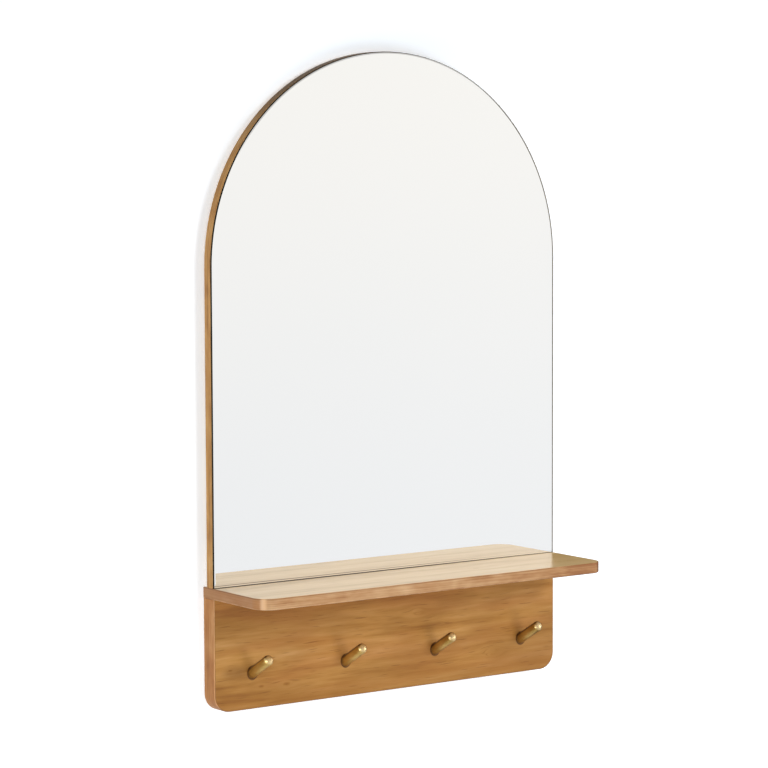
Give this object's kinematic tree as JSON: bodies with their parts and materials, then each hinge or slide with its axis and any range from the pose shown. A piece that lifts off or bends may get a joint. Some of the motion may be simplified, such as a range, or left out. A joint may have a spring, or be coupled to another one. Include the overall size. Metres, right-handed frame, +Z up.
{
  "type": "wall mirror with shelf and hooks",
  "caption": "Arched frameless wall mirror on a wooden board, standing on a round-cornered wooden shelf, with a wooden panel of slanted brass coat pegs below.",
  "frame": {"origin": "centre of the hook panel's back face, on the wall plane", "axes": "+Y into the wall, +Z up, +X to the right when the mirror is looked at from the room"},
  "size_m": [0.61, 0.152, 0.9329],
  "materials": {
    "mirror_glass": "silvered float glass, polished, ground bevel at the front",
    "safety_film": "woven-look grey safety film",
    "mounting_tape": "closed-cell foam tape",
    "board_wood": "honey-stained, satin lacquer, grain upright",
    "shelf_wood": "honey-stained, satin lacquer, grain along the width",
    "panel_wood": "honey-stained, satin lacquer, grain along the width",
    "dowel_wood": "plain beech",
    "screw_steel": "zinc plated, slightly yellow",
    "peg_brass": "satin, lightly aged",
    "washer_steel": "zinc plated",
    "strap_steel": "zinc plated",
    "ring_steel": "zinc plated wire",
    "bumper_rubber": "matt black rubber"
  },
  "bodies": {
    "mirror": {"mirror_glass": "mirror_glass", "safety_film": "safety_film", "mounting_tape": "mounting_tape", "mirror_board": "board_wood", "shelf": "shelf_wood", "hook_panel": "panel_wood", "board_dowels": "dowel_wood", "panel_dowels": "dowel_wood", "board_screws": "screw_steel", "panel_screws": "screw_steel", "coat_peg_1": "peg_brass", "coat_peg_2": "peg_brass", "coat_peg_3": "peg_brass", "coat_peg_4": "peg_brass", "peg_screws": "screw_steel", "peg_washers": "washer_steel", "hanger_strap_left": "strap_steel", "hanger_strap_right": "strap_steel", "hanger_screws": "screw_steel", "wall_bumpers": "bumper_rubber", "bumper_screws": "screw_steel"},
    "left_ring": {"hanger_ring_left": "ring_steel"},
    "right_ring": {"hanger_ring_right": "ring_steel"}
  },
  "joints": [
    {"name": "left_ring_swing", "type": "hinge", "parent": "mirror", "child": "left_ring", "pos_m": [-0.2, -0.00592, 0.652], "axis": [-1, 0, 0], "range_deg": [0, 178]},
    {"name": "right_ring_swing", "type": "hinge", "parent": "mirror", "child": "right_ring", "pos_m": [0.2, -0.00592, 0.652], "axis": [-1, 0, 0], "range_deg": [0, 178]}
  ]
}
